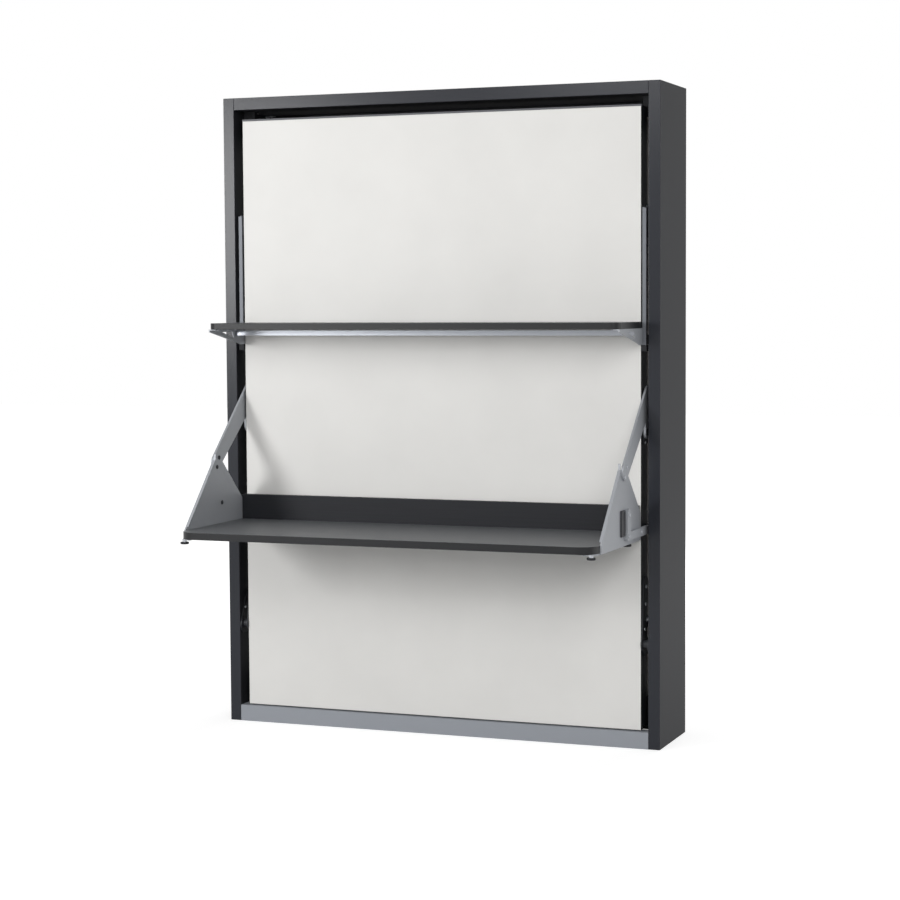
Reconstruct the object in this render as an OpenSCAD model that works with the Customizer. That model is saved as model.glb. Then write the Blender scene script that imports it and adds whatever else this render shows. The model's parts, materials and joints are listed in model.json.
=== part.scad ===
// Wall bed with a fold-down desk, closed as in daytime use.
// A bed in an upright cabinet carries a desk and a shelf on its front. As the bed swings down on the
// pivots near the floor, level links keep desk and shelf flat, and both end up under the bed as its legs.
// Frame: X to the right, Y towards the wall, Z up. Origin on the floor, in the middle of the width,
// on the front plane of the cabinet.

/* [Cabinet] */
// Width of the cabinet
cabinet_w = 1570; // [1400:5:1800]
// Height of the cabinet
cabinet_h = 2180; // [2150:5:2300]
// Depth of the cabinet
cabinet_d = 320; // [315:1:360]
// Thickness of the side panels
side_t = 40; // [32:1:50]
// Thickness of the top panel
top_t = 42; // [30:1:46]
// Height of the steel rail across the foot of the cabinet
base_rail_h = 56; // [40:1:56]
// Depth of that rail
base_rail_d = 40; // [30:1:60]
// Sheet thickness of that rail
base_rail_t = 3; // [2:0.5:5]
// Thickness of the two boards that are screwed to the wall
wall_rail_t = 20; // [16:1:24]
// Height of the upper wall board
upper_wall_rail_h = 100; // [80:5:120]
// Height of the lower wall board
lower_wall_rail_h = 135; // [60:5:140]
// Height of the lower wall board's underside above the floor
lower_wall_rail_z = 5; // [0:5:40]
// Distance between the two wall bolts in each board
wall_bolt_spacing = 1200; // [800:50:1300]
// Diameter of the wall bolt holes
wall_bolt_hole = 9; // [7:0.5:11]
// Rounding of the boards' edges
board_edge = 1.5; // [0.5:0.5:3]
// Leg length of the steel angles in the corners
angle_leg = 28; // [20:1:30]

/* [Bed] */
// Gap at each side between the bed and the cabinet, where the levers and links run
side_gap = 27; // [27:0.5:34]
// Distance from the cabinet's front plane back to the white front panel
panel_setback = 12; // [8:1:16]
// Thickness of the front panel
panel_t = 18; // [16:1:19]
// Height of the front panel's lower edge
panel_z0 = 60; // [58:1:70]
// Gap over the front panel, below the cabinet's top
top_gap = 38; // [30:1:60]
// Height of the dark strip on top of the front panel
edge_strip_h = 6; // [4:1:10]
// Width of the bed rails, across the bed
rail_w = 25; // [20:1:30]
// Depth of the bed rails behind the front panel
rail_d = 50; // [46:1:52]
// Wall thickness of the bed frame's steel tube
tube_wall = 2; // [1.5:0.5:3]
// Number of sprung slats
slat_count = 14; // [10:1:16]
// Width of one slat
slat_w = 68; // [50:1:80]
// Thickness of one slat
slat_t = 8; // [6:1:9]
// How far each slat is bowed towards the mattress
slat_bow = 9; // [5:1:10]
// Width of the mattress
mattress_w = 1400; // [1200:10:1404]
// Length of the mattress
mattress_l = 1950; // [1900:10:1950]
// Thickness of the mattress
mattress_t = 160; // [120:5:165]
// Rounding of the mattress edge that passes closest to the wall
mattress_round = 40; // [36:1:60]
// Height of the mattress over the front panel's lower edge
mattress_lift = 75; // [70:1:80]
// Width of the straps that hold the mattress
strap_w = 40; // [25:1:50]

/* [Bed pivot and level links] */
// Distance of the bed pivot behind the cabinet's front plane
pivot_y = 25; // [24:1:28]
// Height of the bed pivot
pivot_z = 345; // [343:1:350]
// Distance of the desk hinge behind the front plane
desk_hinge_y = 45; // [42:1:50]
// Height of the desk hinge
desk_hinge_z = 1043; // [1043:1:1060]
// Distance of the shelf hinge behind the front plane
shelf_hinge_y = 40; // [38:1:46]
// Height of the shelf hinge
shelf_hinge_z = 1665; // [1663:1:1680]
// Distance of the lower link's pins behind the hinges they work with
lower_link_dy = 55; // [50:1:60]
// Height of the lower link's pins over those hinges
lower_link_dz = 75; // [65:1:85]
// Distance of the upper link's pins behind the hinges they work with
upper_link_dy = 25; // [25:1:30]
// Height of the upper link's pins over those hinges
upper_link_dz = 105; // [95:1:115]
// Radius of the bed's pivot pins
pivot_pin_r = 10; // [8:0.5:12]
// Radius of the desk and shelf hinge pins
hinge_pin_r = 8; // [6:0.5:9]
// Radius of the pins at the links' ends
link_pin_r = 6; // [4:0.5:7]
// Thickness of the levers beside the bed
arm_t = 7; // [5:0.5:7]
// Thickness of the links
link_t = 6; // [4:0.5:6]
// Width of the links
link_w = 20; // [16:1:20]
// Thickness of the steel plates on the bed and in the cabinet
plate_t = 4; // [3:0.5:4]

/* [Traction springs] */
// Distance of the spring's cabinet pin behind the front plane
spring_y = 235; // [230:1:240]
// Height of the spring's cabinet pin
spring_z = 325; // [320:1:330]
// Distance of the spring's bed end behind the front plane
spring_end_y = 65; // [63:1:67]
// Height of the spring's bed end
spring_end_z = 421; // [419:1:423]
// Radius of the spring's cylinder
cylinder_r = 8; // [6:0.5:8]
// Length of the spring's cylinder, from its pin
cylinder_l = 150; // [140:1:152]
// Radius of the spring's rod
spring_rod_r = 3.5; // [3:0.25:3.5]
// Length of the spring's rod, from its own pin
spring_rod_l = 170; // [165:1:172]
// Radius of the pins at both ends of the spring
spring_pin_r = 4; // [3:0.25:5]

/* [Desk] */
// Height of the desk's upper face
desk_z = 721; // [718:1:730]
// Thickness of the desk top
desk_t = 24; // [18:1:28]
// How far the desk stands out in front of the cabinet
desk_reach = 505; // [450:5:560]
// Corner radius of the desk's front corners
desk_corner_r = 60; // [30:5:90]
// Distance from the front plane forward to the back of the upright strip
upstand_y = 4; // [2:1:8]
// Thickness of the upright strip behind the desk
upstand_t = 22; // [16:1:26]
// Height of the upright strip over the desk's upper face
upstand_h = 85; // [60:5:110]
// Thickness of the sheet-metal plates at the desk's ends
desk_plate_t = 5; // [4:0.5:5]
// Width of the flange that carries each end of the desk
desk_flange_w = 40; // [30:1:60]
// Thickness of the brackets outside those plates
bracket_t = 12; // [7:0.5:12]
// Width of the folded lip along the plate's sloping front edge
plate_lip_w = 5; // [4:1:24]
// Height of the feet under the desk
foot_h = 13; // [10:0.5:14]
// Radius of the feet under the desk
foot_r = 14; // [10:1:18]

/* [Shelf] */
// Height of the shelf's upper face
shelf_z = 1404; // [1398:1:1410]
// Thickness of the shelf board
shelf_t = 21; // [18:1:30]
// How far the shelf stands out in front of the cabinet
shelf_reach = 257; // [220:1:300]
// Corner radius of the shelf's front corners
shelf_corner_r = 28; // [10:1:60]
// Gap between the shelf's rear edge and the front plane
shelf_back_gap = 8; // [6:1:10]
// Width of the shelf's upright levers
lever_w = 38; // [34:1:40]
// Width of the levers' front flange, across the gap
lever_flange_w = 12.5; // [9:0.5:13]
// Height of the levers' lower ends
lever_z0 = 1307; // [1307:1:1312]
// Height of the rail under the shelf
shelf_rail_h = 17; // [14:1:28]
// Depth of the rail under the shelf
shelf_rail_d = 30; // [20:1:40]

/* [Hidden] */

$fn = 64;
// Play of a pin in its bore, on the radius
fit = 0.05;
// Play at a link's free end, where the linkage is open
loose_fit = 0.6;
// Gap between moving faces that pass each other
run_gap = 0.5;
// Gap between pieces that rest on each other
rest_gap = 0.3;

// Clear width inside the cabinet, halved, and the underside of its top
inner_half = cabinet_w / 2 - side_t;
inner_top = cabinet_h - top_t;

// Layers across each side gap, from the bed outwards
bed_half = inner_half - side_gap;
plate_x = bed_half + plate_t;
arm_x = plate_x + run_gap;
arm_out = arm_x + arm_t;
link_x = arm_out + 1.5;
link_out = link_x + link_t;
anchor_x = inner_half - plate_t;
head_t = 2;

// Pivots and pins in the side view, as [y, z]
bed_pivot = [pivot_y, pivot_z];
desk_hinge = [desk_hinge_y, desk_hinge_z];
shelf_hinge = [shelf_hinge_y, shelf_hinge_z];
lower_offset = [lower_link_dy, lower_link_dz];
upper_offset = [upper_link_dy, upper_link_dz];
anchor_pin = bed_pivot + lower_offset;
lower_link_top = desk_hinge + lower_offset;
upper_link_foot = desk_hinge + upper_offset;
upper_link_top = shelf_hinge + upper_offset;
spring_base = [spring_y, spring_z];
spring_end = [spring_end_y, spring_end_z];

// Bed, from the front panel back
panel_top = inner_top - top_gap;
panel_back = panel_setback + panel_t;
rail_back = panel_back + rail_d;
rail_z0 = panel_z0 + 10;
rail_half = bed_half - rail_w;
mattress_y = rail_back;
mattress_z0 = panel_z0 + mattress_lift;
// Room between a mattress end and its strap, at the bed's lower and upper end
strap_low_inset = 600;
strap_high_inset = 510;
slat_first_z = mattress_z0 + 70;
slat_last_z = mattress_z0 + mattress_l - 70;
slat_pitch = (slat_last_z - slat_first_z) / (slat_count - 1);

// Desk and its metalwork
desk_under = desk_z - desk_t;
upstand_front = -upstand_y - upstand_t;
desk_half = arm_x - desk_plate_t;
desk_flange_t = 4;
desk_plate_foot = desk_under - desk_flange_t;
foot_z = desk_plate_foot - foot_h;
foot_x = desk_half - foot_r - 2;
foot_ys = [-desk_reach + 24, -95];
plate_front = -desk_reach + 62;
arm_foot = [plate_front + 238, desk_z + 209];
arm_foot_r = 28;
arm_head = desk_hinge + [15, 112];
arm_head_r = 40;
desk_hinge_plate = 80;
shelf_hinge_plate = 64;
desk_tube_w = 36;
bracket_w = 27;
bracket_z = desk_z - 12;
bracket_end_y = desk_hinge_y + 17;

// Shelf and its metalwork
shelf_under = shelf_z - shelf_t;
lever_y0 = panel_setback - 4;
lever_flange_t = 4;
gusset_y = -18;
gusset_t = 4;
gusset_w = 22;
gusset_depth = 49;

// --- shared shapes -----------------------------------------------------------------------------

// Right-hand pieces are drawn as they are, left-hand ones mirrored
module on_side(s) {
    if (s > 0) children();
    else mirror([1, 0, 0]) children();
}

module on_both_sides() {
    on_side(1) children();
    on_side(-1) children();
}

// Turns an outline in [y, z] into a plate from x to x + t
module sheet_at(x, t) {
    translate([x, 0, 0]) rotate([90, 0, 90]) linear_extrude(t) children();
}

// Round bar across the bed, from x0 to x1, about a point in [y, z]
module pin_at(p, x0, x1, r) {
    translate([x0, p.x, p.y]) rotate([0, 90, 0]) cylinder(h = x1 - x0, r = r);
}

module disc_at(p, r) {
    translate(p) circle(r);
}

// A box given by its two corners
module box_from(a, b) {
    translate(a) cube(b - a);
}

// Board from a to b with slightly rounded edges all round
module board(a, b, r = board_edge) {
    intersection() {
        translate([0, 0, a.z]) linear_extrude(b.z - a.z)
            polygon(round_rect([a.x, a.y], [b.x, b.y], r, 3));
        sheet_at(a.x, b.x - a.x) polygon(round_rect([a.y, a.z], [b.y, b.z], r, 3));
        translate([0, b.y, 0]) rotate([90, 0, 0]) linear_extrude(b.y - a.y)
            polygon(round_rect([a.x, a.z], [b.x, b.z], r, 3));
    }
}

function arc_points(c, r, a0, a1, n = 16) =
    [for (i = [0 : n]) let (a = a0 + (a1 - a0) * i / n) c + r * [cos(a), sin(a)]];

// Outline of a bar with round ends of two sizes, and straight sides that meet both
function bar_points(p, rp, q, rq) =
    let (d = q - p, a = atan2(d.y, d.x), b = acos((rp - rq) / norm(d)))
    concat(arc_points(p, rp, a + b, a + 360 - b), arc_points(q, rq, a - b, a + b));

module bar_outline(p, rp, q, rq) {
    polygon(bar_points(p, rp, q, rq));
}

// Rectangle with rounded corners, from a to b
function round_rect(a, b, r, n = 8) = concat(
    arc_points([b.x - r, b.y - r], r, 0, 90, n), arc_points([a.x + r, b.y - r], r, 90, 180, n),
    arc_points([a.x + r, a.y + r], r, 180, 270, n), arc_points([b.x - r, a.y + r], r, 270, 360, n));

// Square steel tube along X, open at both ends
module cross_tube(y, z, w, h, half) {
    difference() {
        box_from([-half, y, z], [half, y + w, z + h]);
        box_from([-half - 1, y + tube_wall, z + tube_wall],
                 [half + 1, y + w - tube_wall, z + h - tube_wall]);
    }
}

// Domed screw head standing out along +X
module bolt_head(p, x, r = 6, h = 3.5) {
    translate([x, p.x, p.y]) rotate([0, 90, 0]) difference() {
        union() {
            cylinder(h = h * 0.6, r = r);
            translate([0, 0, h * 0.6]) cylinder(h = h * 0.4, r1 = r, r2 = r * 0.75);
        }
        translate([0, 0, h * 0.45]) cylinder(h = h, r = r * 0.4, $fn = 6);
    }
}

// --- cabinet -----------------------------------------------------------------------------------

bush_r = pivot_pin_r + 6;
bush_depth = 26;
bush_flange_r = 22;

module side_panel(s) {
    color("#5b5d66") on_side(s) difference() {
        board([inner_half, 0, 0], [inner_half + side_t, cabinet_d, cabinet_h]);
        pin_at(bed_pivot, inner_half - 1, inner_half + bush_depth, bush_r);
    }
}

module top_panel() {
    color("#5b5d66") board([-inner_half, 0, inner_top], [inner_half, cabinet_d, cabinet_h]);
}

// Channel with its open side towards the wall and a folded tab at each end
module base_rail() {
    tab_w = 30;
    color("#8e929b") {
        difference() {
            box_from([-inner_half, 0, 0], [inner_half, base_rail_d, base_rail_h]);
            box_from([-inner_half + base_rail_t, base_rail_t, base_rail_t],
                     [inner_half - base_rail_t, base_rail_d + 1, base_rail_h - base_rail_t]);
        }
        for (s = [-1, 1]) on_side(s)
            box_from([inner_half - base_rail_t, base_rail_d, 0],
                     [inner_half, base_rail_d + tab_w, base_rail_h]);
    }
}

// Board behind the bed, screwed to the wall through two holes
module wall_rail(z, h) {
    color("#5b5d66") difference() {
        box_from([-inner_half, cabinet_d - wall_rail_t, z], [inner_half, cabinet_d, z + h]);
        for (s = [-1, 1])
            translate([s * wall_bolt_spacing / 2, cabinet_d - wall_rail_t - 1, z + h / 2])
                rotate([-90, 0, 0]) cylinder(h = wall_rail_t + 2, d = wall_bolt_hole);
    }
}

// Steel angles that hold the top and the lower wall board to the sides
module corner_brackets() {
    leg = angle_leg;
    t = 3;
    angle_w = 30;
    module angle(y0, z, up) {
        translate([inner_half, y0, z]) rotate([-90, 0, 0]) linear_extrude(angle_w)
            polygon([[0, 0], [-leg, 0], [-leg, t * up], [-t, t * up], [-t, leg * up], [0, leg * up]]);
    }
    color("#8b8e93") on_both_sides() {
        for (y = [rail_back + 30, cabinet_d - wall_rail_t - 20 - angle_w]) angle(y, inner_top, 1);
        angle(cabinet_d - wall_rail_t - 32, lower_wall_rail_z, -1);
        box_from([inner_half - leg, cabinet_d - wall_rail_t - 2, lower_wall_rail_z],
                 [inner_half, cabinet_d - wall_rail_t, lower_wall_rail_z + leg]);
    }
}

// Flanged bush for the bed's pivot pin, let into the side panel
module pivot_bearing(s) {
    color("#b9bcc2") on_side(s) difference() {
        union() {
            pin_at(bed_pivot, inner_half, inner_half + bush_depth, bush_r);
            pin_at(bed_pivot, anchor_x - 1.5, inner_half, bush_flange_r);
        }
        pin_at(bed_pivot, anchor_x - 3, inner_half + bush_depth - 2, pivot_pin_r + fit);
    }
}

// Steel plate on the cabinet's side. It frames the bearing and holds the pins of link and spring.
module anchor_plate(s) {
    color("#8b8e93") on_side(s) {
        difference() {
            sheet_at(anchor_x, plate_t) difference() {
                union() {
                    bar_outline([bush_flange_r + 10, bed_pivot.y - 5], 30, anchor_pin + [-8, 5], 34);
                    bar_outline([bush_flange_r + 18, bed_pivot.y - 5], 30, spring_base + [0, 4], 26);
                    bar_outline(anchor_pin, 30, spring_base + [0, 6], 24);
                }
                disc_at(bed_pivot, bush_flange_r);
                disc_at([120, 358], 9);
                disc_at([165, 352], 9);
            }
            for (p = [[36, 400], [112, 440], [170, 325], [250, 340]])
                pin_at(p, anchor_x - 1, inner_half + 1, 3);
        }
        pin_at(anchor_pin, link_out + rest_gap, anchor_x, link_pin_r + 4);
        pin_at(anchor_pin, link_x - 0.5, link_out + rest_gap, link_pin_r);
        pin_at(spring_base, spring_x + 4, anchor_x, spring_pin_r + 3);
        pin_at(spring_base, spring_x - 7, spring_x + 4, spring_pin_r);
    }
}

// Rubber-faced blocks under the top that the closed bed leans against
module closing_stops() {
    color("#2b2c30") on_both_sides()
        box_from([bed_half - 14, rail_back + rest_gap, inner_top - 50],
                 [inner_half, rail_back + 18, inner_top]);
}

// --- bed ---------------------------------------------------------------------------------------

module front_panel() {
    color("#ecebe7") board([-bed_half, panel_setback, panel_z0], [bed_half, panel_back, panel_top]);
}

module top_edge_strip() {
    color("#4a4b50") box_from([-bed_half, panel_setback, panel_top],
                              [bed_half, panel_back, panel_top + edge_strip_h]);
}

module bed_rail(s) {
    color("#2a2c30") on_side(s) difference() {
        box_from([rail_half, panel_back, rail_z0], [bed_half, rail_back, panel_top]);
        box_from([rail_half + tube_wall, panel_back + tube_wall, rail_z0 - 1],
                 [bed_half - tube_wall, rail_back - tube_wall, panel_top + 1]);
    }
}

module bed_head_rail() {
    color("#2a2c30") cross_tube(panel_back, rail_z0, rail_d, rail_w, rail_half);
}

module bed_foot_rail() {
    color("#2a2c30") cross_tube(panel_back, panel_top - rail_w, rail_d, rail_w, rail_half);
}

// Two tubes across the frame, behind the desk and the shelf, below the slats
module cross_tubes() {
    color("#2a2c30") for (z = [desk_hinge_z - 12, shelf_hinge_z - 12])
        cross_tube(panel_back, z, 24, 24, rail_half);
}

// Angle on the head rail that carries the mattress while the bed stands upright
module mattress_ledge() {
    ledge_depth = 120;
    half = mattress_w / 2 - 20;
    color("#2a2c30") difference() {
        union() {
            box_from([-half, rail_back, mattress_z0 - rest_gap - 3],
                     [half, rail_back + ledge_depth, mattress_z0 - rest_gap]);
            box_from([-half, rail_back, rail_z0 + 2],
                     [half, rail_back + 3, mattress_z0 - rest_gap]);
        }
        for (i = [-6 : 6])
            translate([i * half / 7, rail_back + ledge_depth - 45, mattress_z0 - 10])
                cylinder(h = 20, r = 14);
    }
}

// Moulded caps on the rails that hold the slats' ends
module slat_holders() {
    cap = 14;
    color("#2b2c30") on_both_sides() for (i = [0 : slat_count - 1])
        translate([0, 0, slat_first_z + i * slat_pitch]) difference() {
            box_from([rail_half - cap, slat_y - 4, -slat_w / 2 - 4],
                     [rail_half, slat_y + slat_t + 3, slat_w / 2 + 4]);
            box_from([rail_half - cap - 1, slat_y, -slat_w / 2],
                     [rail_half - 2, slat_y + slat_t, slat_w / 2]);
        }
}

// Bowed ends-to-middle strip: its outline in [x, y], drawn as two long arcs
slat_half = rail_half - 2;
slat_flat = 12;
slat_y = rail_back - rest_gap - slat_bow - slat_t;
slat_r = (pow(slat_half - slat_flat, 2) + pow(slat_bow, 2)) / (2 * slat_bow);
function slat_edge(x) =
    abs(x) > slat_half - slat_flat ? 0 : sqrt(slat_r * slat_r - x * x) - slat_r + slat_bow;
slat_xs = concat([-slat_half],
                 [for (i = [-8 : 8]) (slat_half - slat_flat) * i / 8], [slat_half]);

module slats() {
    n = len(slat_xs) - 1;
    color("#d9bd8c") for (i = [0 : slat_count - 1])
        translate([0, slat_y, slat_first_z + i * slat_pitch - slat_w / 2]) linear_extrude(slat_w)
            polygon(concat([for (k = [0 : n]) [slat_xs[k], slat_edge(slat_xs[k])]],
                           [for (k = [n : -1 : 0]) [slat_xs[k], slat_edge(slat_xs[k]) + slat_t]]));
}

module mattress() {
    r = mattress_round;
    y1 = mattress_y + rest_gap;
    y2 = mattress_y + mattress_t;
    z2 = mattress_z0 + mattress_l;
    color("#e9e7e1") translate([-mattress_w / 2, 0, 0]) sheet_at(0, mattress_w)
        polygon(concat([[y1, z2], [y1, mattress_z0]],
                       arc_points([y2 - r, mattress_z0 + r], r, -90, 0, 8),
                       arc_points([y2 - r, z2 - r], r, 0, 90, 8)));
}

// Two webbing straps that hold the mattress to the rails
module mattress_straps() {
    strap_t = 1.5;
    half = mattress_w / 2 + rest_gap;
    back = mattress_y + mattress_t + rest_gap;
    color("#3a3b3f") for (z = [mattress_z0 + strap_low_inset,
                                mattress_z0 + mattress_l - strap_high_inset - strap_w])
        translate([0, 0, z]) linear_extrude(strap_w) difference() {
            translate([-half - strap_t, mattress_y]) square([2 * (half + strap_t), back + strap_t - mattress_y]);
            translate([-half, mattress_y - 1]) square([2 * half, back - mattress_y + 1]);
        }
}

// Steel plate on the bed rail's foot, with the pivot pin and the flat that takes the spring
module pivot_plate(s) {
    color("#8b8e93") on_side(s) {
        sheet_at(bed_half, plate_t) union() {
            bar_outline(bed_pivot, 22, spring_end, 18);
            bar_outline(bed_pivot + [14, 0], 30, [panel_back + rail_d / 2, pivot_z + 200], 24);
            bar_outline(bed_pivot + [30, -26], 20, bed_pivot + [30, 0], 24);
        }
        pin_at(bed_pivot, plate_x, inner_half + bush_depth - 4, pivot_pin_r);
        pin_at(bed_pivot, plate_x, anchor_x - 1.5 - run_gap, pivot_pin_r + 4);
    }
}

// Stub hinge on a plate: pin through the lever, with a head that keeps the lever on
module stub_hinge(s, p, half_h) {
    mid = panel_back + rail_d / 2;
    color("#8b8e93") on_side(s) {
        sheet_at(bed_half, plate_t)
            polygon(round_rect([mid - 22, p.y - half_h], [mid + 22, p.y + half_h], 8));
        pin_at(p, plate_x, arm_out + run_gap, hinge_pin_r);
        pin_at(p, arm_out + run_gap, arm_out + run_gap + head_t, hinge_pin_r + 4);
    }
}

// Rubber-faced blocks on the bed rails that hold desk and shelf level when the bed is closed
module lever_stops() {
    color("#2b2c30") on_both_sides() {
        box_from([bed_half, bracket_end_y + rest_gap, bracket_z - 3],
                 [arm_out, rail_back, bracket_z + bracket_w + 3]);
        box_from([bed_half, lever_y0 + lever_w + rest_gap, lever_z0 + 24],
                 [arm_out, panel_back + rail_d * 0.6, lever_z0 + 54]);
    }
}

// --- desk --------------------------------------------------------------------------------------

// Board across the part with large round corners in front and slightly rounded edges
module table_board(half, front, back, z0, z1, r) {
    intersection() {
        translate([0, 0, z0]) linear_extrude(z1 - z0)
            polygon(concat([[half, back], [-half, back]],
                           arc_points([-half + r, front + r], r, 180, 270),
                           arc_points([half - r, front + r], r, 270, 360)));
        sheet_at(-half, 2 * half) polygon(round_rect([front, z0], [back, z1], board_edge, 3));
    }
}

module desk_top() {
    color("#55565a")
        table_board(desk_half, -desk_reach, upstand_front, desk_under, desk_z, desk_corner_r);
}

module desk_upstand() {
    color("#2e2f33") board([-desk_half, upstand_front, desk_under],
                           [desk_half, -upstand_y, desk_z + upstand_h]);
}

// Sheet-metal end plate: sloping lip along the front edge, flange under the desk
plate_back = -upstand_y - 4;
plate_apex = arm_foot + [-29, 10];
plate_outline = [
    [plate_front, desk_plate_foot], [plate_front, desk_z + 2], plate_apex, arm_foot + [30, 5],
    [plate_back - 4, desk_z + 62], [plate_back, desk_plate_foot],
];
lip_t = 3;
lip_start = 12;
lip_slope = atan2(plate_apex.y - desk_z - 2, plate_apex.x - plate_front);
lip_l = norm(plate_apex - [plate_front, desk_z + 2]);

module desk_plate(s) {
    x = arm_x - desk_plate_t;
    color("#8b8e93") on_side(s) {
        sheet_at(x, desk_plate_t) polygon(plate_outline);
        // folded lip, with its tip standing up past the apex
        translate([0, plate_front, desk_z + 2]) rotate([lip_slope, 0, 0]) {
            box_from([x - plate_lip_w, lip_start, -lip_t], [x + desk_plate_t / 2, lip_l, 0]);
            translate([x - plate_lip_w, lip_l, -lip_t]) rotate([90, 0, 90])
                linear_extrude(plate_lip_w + desk_plate_t / 2)
                polygon([[0, 0], [16, 10], [16, 10 + lip_t], [0, lip_t]]);
        }
        // flange under the end of the desk
        translate([0, 0, desk_plate_foot]) linear_extrude(desk_flange_t)
            polygon([[x, plate_back], [x, -desk_reach + desk_corner_r - 10],
                     [x - 12, -desk_reach + 15], [x - desk_flange_w, -desk_reach + 15],
                     [x - desk_flange_w, plate_back]]);
    }
}

// Lever from the plate's apex back to the hinge, with two lobes for the links' pins
module desk_arm(s) {
    color("#9a9da2") on_side(s) {
        difference() {
            sheet_at(arm_x, arm_t) union() {
                bar_outline(arm_foot, arm_foot_r, arm_head, arm_head_r);
                bar_outline(arm_head, arm_head_r, desk_hinge, 22);
                bar_outline(arm_head, arm_head_r, lower_link_top, 18);
                bar_outline(desk_hinge, 22, lower_link_top, 18);
            }
            pin_at(desk_hinge, arm_x - 1, arm_out + 1, hinge_pin_r + fit);
        }
        link_pin(lower_link_top);
        link_pin(upper_link_foot);
    }
}

// Pin for a link's eye, with a shoulder under the link and a head over it
module link_pin(p) {
    pin_at(p, arm_out, link_x - rest_gap, link_pin_r + 4);
    pin_at(p, link_x - rest_gap, link_out + rest_gap, link_pin_r);
    pin_at(p, link_out + rest_gap, link_out + rest_gap + 1.5, link_pin_r + 3);
}

// L-shaped flat bar: its foot meets the stop on the bed rail
module desk_bracket(s) {
    leg_y = bracket_leg_y;
    color("#a3a6ab") on_side(s) difference() {
        sheet_at(arm_x, bracket_t) polygon(concat(
            [[bracket_end_y, bracket_z], [bracket_end_y, bracket_z + bracket_w]],
            [[leg_y + 40, bracket_z + bracket_w], [leg_y + 40, bracket_z + 82]],
            arc_points([leg_y + 20, bracket_z + 82], 20, 0, 180, 12),
            arc_points([leg_y + 10, bracket_z + 10], 10, 180, 270, 6)));
        for (p = bracket_holes) pin_at(p, arm_x - 1, arm_x + bracket_t + 1, 3);
    }
}
bracket_leg_y = -200;
bracket_holes = [[bracket_leg_y + 20, bracket_z + 82], [bracket_leg_y + 20, bracket_z + 14],
                 [-40, bracket_z + 14]];

// Flat tube under the rear of the desk that joins the two plates
module desk_cross_tube() {
    color("#5c6065") cross_tube(foot_ys[1] + 23, foot_z + 1, desk_tube_w, foot_h - 1, desk_half - desk_flange_w + 10);
}

module desk_foot_stems() {
    color("#c4c7cc") on_both_sides() for (y = foot_ys)
        translate([foot_x, y, foot_z + 7]) cylinder(h = foot_h - 7, r = 7);
}

module desk_foot_pads() {
    color("#26272a") on_both_sides() for (y = foot_ys) translate([foot_x, y, foot_z]) {
        cylinder(h = 1.5, r1 = foot_r - 1.5, r2 = foot_r);
        translate([0, 0, 1.5]) cylinder(h = 5.5, r = foot_r);
    }
}

arm_bolt_points = [arm_foot + [-8, -15], arm_foot + [17, 15]];

module desk_bolts() {
    color("#c4c7cc") on_both_sides() {
        for (p = arm_bolt_points) bolt_head(p, arm_out);
        for (p = bracket_holes) bolt_head(p, arm_x + bracket_t);
    }
}

// --- shelf -------------------------------------------------------------------------------------

module shelf_board() {
    color("#4c4d52")
        table_board(arm_x, -shelf_reach, -shelf_back_gap, shelf_under, shelf_z, shelf_corner_r);
}

// Upright lever in the side gap, set back towards its hinge at the top
module shelf_lever(s) {
    mid_y = lever_y0 + lever_w / 2;
    color("#a3a6ab") on_side(s) {
        difference() {
            sheet_at(arm_x, arm_t) union() {
                polygon(round_rect([lever_y0, lever_z0 + 3], [lever_y0 + lever_w, upper_link_top.y + 5], 3));
                bar_outline([mid_y, shelf_hinge_z + 15], lever_w / 2, shelf_hinge, 22);
                bar_outline([mid_y, shelf_hinge_z + 35], lever_w / 2, upper_link_top, 16);
                bar_outline(shelf_hinge, 22, upper_link_top, 16);
            }
            pin_at(shelf_hinge, arm_x - 1, arm_out + 1, hinge_pin_r + fit);
        }
        // front flange, folded outwards across the gap
        box_from([arm_out - 1, lever_y0, lever_z0 + 6],
                 [arm_x + lever_flange_w, lever_y0 + lever_flange_t, upper_link_top.y + 2]);
        link_pin(upper_link_top);
    }
}

// Rubber shoes on the levers' lower ends
module shelf_foot_pads() {
    color("#2b2c30") on_both_sides() difference() {
        sheet_at(arm_x - 3, lever_flange_w + 5)
            polygon(round_rect([lever_y0 - 3, lever_z0], [lever_y0 + lever_w, lever_z0 + 21], 3, 3));
        box_from([arm_x, lever_y0, lever_z0 + 3], [arm_out, lever_y0 + lever_w + 1, lever_z0 + 30]);
        box_from([arm_out - 1, lever_y0, lever_z0 + 6],
                 [arm_x + lever_flange_w, lever_y0 + lever_flange_t, lever_z0 + 30]);
    }
}

// Triangular sheet bracket below the end of the shelf, with a triangular window
module shelf_gusset(s) {
    x = arm_x - gusset_t;
    tip_y = -shelf_reach + 7;
    low_z = shelf_under - gusset_depth;
    back = lever_y0 + lever_w - 4;
    color("#6b6e73") on_side(s) {
        sheet_at(x, gusset_t) difference() {
            polygon([[tip_y, shelf_under], [tip_y, shelf_under - 9], [gusset_y - 22, low_z],
                     [gusset_y - 4, lever_z0 + 22], [back, lever_z0 + 22], [back, shelf_under]]);
            polygon([[tip_y + 92, shelf_under - 10], [gusset_y - 62, shelf_under - 10],
                     [gusset_y - 50, low_z + 16]]);
        }
        box_from([x - gusset_w, tip_y, shelf_under - 3], [x, gusset_y, shelf_under]);
    }
}

// Bright rail under the shelf's rear edge, from gusset to gusset
module shelf_rail() {
    half = arm_x - gusset_t;
    z1 = shelf_under - 3 - 3;
    color("#b8bdc8") difference() {
        box_from([-half, -60, z1 - shelf_rail_h], [half, -60 + shelf_rail_d, z1]);
        box_from([-half - 1, -60 + 2, z1 - shelf_rail_h + 2],
                 [half + 1, -60 + shelf_rail_d - 2, z1 - 2]);
    }
}

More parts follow.
